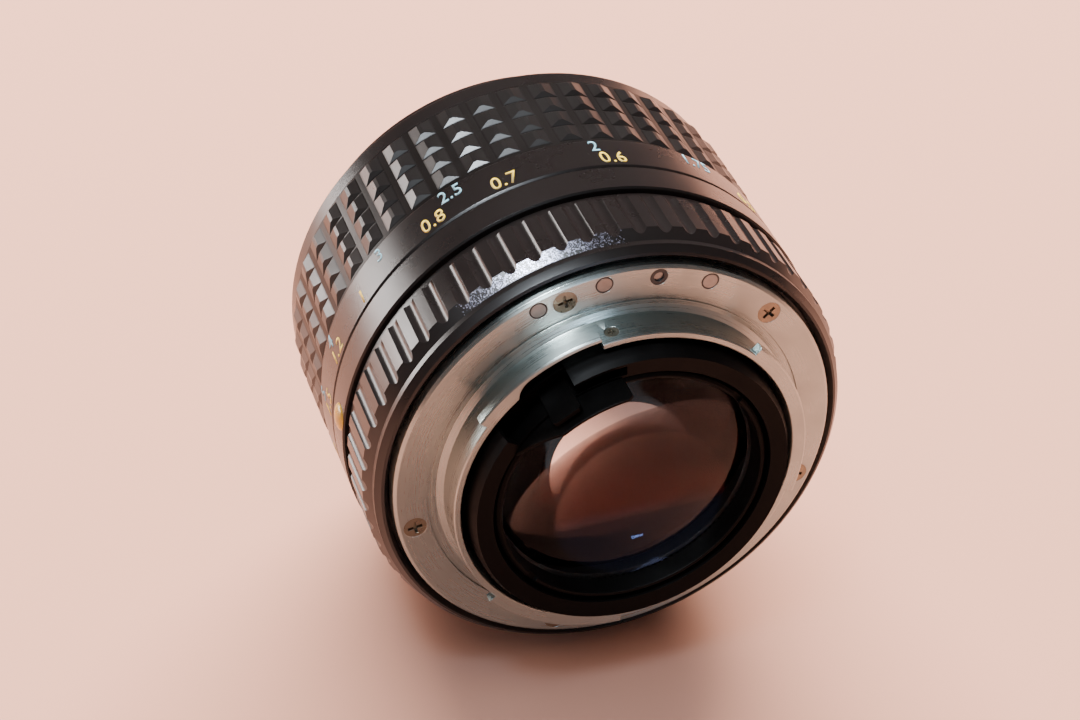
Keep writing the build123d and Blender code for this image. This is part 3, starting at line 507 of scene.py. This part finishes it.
def figure(name, text, angle, y, radius, height, material, body, narrow=0.8):
    """A figure laid round a dial, reading towards decreasing angle with its top towards +Y."""
    curve = bpy.data.curves.new(name, "FONT")
    curve.body = text
    curve.align_x = "CENTER"
    curve.align_y = "CENTER"
    curve.size = height * 1.38
    curve.offset = height * 0.012
    curve.space_character = 1.08
    curve.resolution_u = 5
    source = bpy.data.objects.new(name + "_source", curve)
    mesh = bpy.data.meshes.new_from_object(source)
    bpy.data.objects.remove(source)
    work = bmesh.new()
    work.from_mesh(mesh)
    bmesh.ops.triangulate(work, faces=work.faces[:])
    flat = work.faces[:]
    raised = bmesh.ops.extrude_face_region(work, geom=flat)
    for vertex in [item for item in raised["geom"] if isinstance(item, bmesh.types.BMVert)]:
        vertex.co.z += FIGURE_RISE
    for vertex in work.verts:
        turn = math.radians(angle) - vertex.co.x * narrow / radius
        reach = (radius - ENAMEL_SINK + vertex.co.z) * MM
        vertex.co = Vector((reach * math.cos(turn), (y + vertex.co.y) * MM, reach * math.sin(turn)))
    bmesh.ops.recalc_face_normals(work, faces=work.faces[:])
    work.to_mesh(mesh)
    work.free()
    mesh.materials.clear()
    mesh.materials.append(material)
    piece = bpy.data.objects.new(name, mesh)
    bpy.context.scene.collection.objects.link(piece)
    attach(piece, body)


def line_mark(name, angle, ends, radius, width, material, body):
    """A thin painted line along Y on a dial."""
    mesh = bpy.data.meshes.new(name)
    work = bmesh.new()
    corners = []
    for reach in (radius - ENAMEL_SINK, radius - ENAMEL_SINK + LINE_RISE):
        for side in (-1, 1):
            for y in ends:
                turn = math.radians(angle) + side * width / 2 / radius
                corners.append(work.verts.new(Vector((
                    reach * MM * math.cos(turn), y * MM, reach * MM * math.sin(turn)))))
    bmesh.ops.convex_hull(work, input=corners)
    work.to_mesh(mesh)
    work.free()
    mesh.materials.append(material)
    piece = bpy.data.objects.new(name, mesh)
    bpy.context.scene.collection.objects.link(piece)
    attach(piece, body)


def engrave_dials():
    yellow = paint_mark("yellow_enamel", YELLOW)
    blue = paint_mark("blue_enamel", BLUE)
    white = paint_mark("white_enamel", WHITE)
    for metres in ("0.45", "0.5", "0.6", "0.7", "0.8", "1", "1.2", "1.5", "2", "3", "5", "10"):
        angle = scale_angle(float(metres) * 1000)
        name = "metre_figure_" + metres.replace(".", "_")
        figure(name, metres, angle, METRE_ROW_Y, BAND_R, DIGIT_H, yellow, "focus_control")
    for feet in ("1.75", "2", "2.5", "3", "4", "5", "7", "10", "15", "30"):
        angle = scale_angle(float(feet) * FOOT)
        name = "foot_figure_" + feet.replace(".", "_")
        figure(name, feet, angle, FOOT_ROW_Y, BAND_R, FOOT_DIGIT_H, blue, "focus_control")
    figure("infinity_mark", "∞", INDEX_ANGLE, METRE_ROW_Y, BAND_R, DIGIT_H, white, "focus_control",
           1.0)
    for step, stop in enumerate(F_STOPS):
        angle = INDEX_ANGLE + step * F_STOP_STEP
        ink = yellow if stop == "A" else white
        name = "aperture_figure_" + stop.replace(".", "_")
        figure(name, stop, angle, F_STOP_ROW_Y, APERTURE_R, F_STOP_H, ink, "aperture_control")
    line_mark("index_mark", INDEX_ANGLE, INDEX_MARK, BAND_R, INDEX_MARK_W, white, "housing")
    for stop, turn in (("8", 4.2), ("11", 7.2), ("16", 11.0), ("22", 15.5)):
        for side in (-1, 1):
            angle = INDEX_ANGLE + side * turn
            name = f"depth_line_{stop}_{'left' if side < 0 else 'right'}"
            line_mark(name, angle, DEPTH_LINE, BAND_R, DEPTH_LINE_W, white, "housing")
    for stop, turn in (("8", 3.9), ("16", 9.6), ("22", 16.4)):
        for side in (-1, 1):
            angle = INDEX_ANGLE + side * turn
            name = f"depth_figure_{stop}_{'left' if side < 0 else 'right'}"
            figure(name, stop, angle, DEPTH_ROW_Y, BAND_R, DEPTH_DIGIT_H, white, "housing")


# ---------------------------------------------------------------- stage, light and camera

def lay_floor():
    mesh = bpy.data.meshes.new("paper_sheet")
    half = SHEET_HALF
    corners = [(-half, -half, FLOOR_Z), (half, -half, FLOOR_Z), (half, half, FLOOR_Z), (-half, half, FLOOR_Z)]
    mesh.from_pydata(corners, [], [(0, 1, 2, 3)])
    mesh.materials.append(paper())
    sheet = bpy.data.objects.new("paper_sheet", mesh)
    bpy.context.scene.collection.objects.link(sheet)


def soft_light(name, place, size, power, colour, glossy=True, diffuse=True):
    """Rectangular area light that faces the lens, seen by highlights, by matt surfaces or by both."""
    data = bpy.data.lights.new(name, "AREA")
    data.shape = "RECTANGLE"
    data.size, data.size_y = size
    data.energy = power
    data.color = colour
    lamp = bpy.data.objects.new(name, data)
    lamp.location = place
    lamp.rotation_euler = (-Vector(place)).to_track_quat("-Z", "Y").to_euler()
    lamp.visible_glossy = glossy
    lamp.visible_diffuse = diffuse
    bpy.context.scene.collection.objects.link(lamp)


def set_lights():
    """Daylight from behind, which throws the shadow forwards, and the windows that the metal mirrors."""
    world = bpy.data.worlds.new("room")
    world.use_nodes = True
    backdrop = world.node_tree.nodes["Background"]
    backdrop.inputs["Color"].default_value = (0.9, 0.8, 0.8, 1)
    backdrop.inputs["Strength"].default_value = 0.2
    bpy.context.scene.world = world
    soft_light("daylight", (0.42, 1.3, 0.85), (1.7, 0.9), 165.0, (1.0, 0.97, 0.95), glossy=False)
    soft_light("ceiling", (-0.2, -0.2, 1.3), (1.2, 1.2), 9.0, (1.0, 0.97, 0.95), glossy=False)
    soft_light("overhead", (-0.36, -0.25, 1.2), (0.26, 0.2), 50.0, (0.84, 0.92, 1.0), diffuse=False)
    soft_light("left_wall", (-0.92, 0.75, 0.12), (0.6, 0.34), 16.0, (1.0, 0.95, 0.92), diffuse=False)
    soft_light("far_window", (0.12, -1.14, 0.36), (0.16, 0.045), 2.2, (0.6, 0.8, 1.0), diffuse=False)


def aim_camera():
    data = bpy.data.cameras.new("camera")
    data.sensor_width = 36.0
    data.lens = CAMERA_FOCAL
    data.clip_start = 0.01
    camera = bpy.data.objects.new("camera", data)
    camera.location = Vector(CAMERA_PLACE) * MM
    camera.rotation_euler = Vector(CAMERA_AIM).to_track_quat("-Z", "Y").to_euler()
    bpy.context.scene.collection.objects.link(camera)
    bpy.context.scene.camera = camera


dress_nodes()
engrave_dials()
lay_floor()
set_lights()
aim_camera()
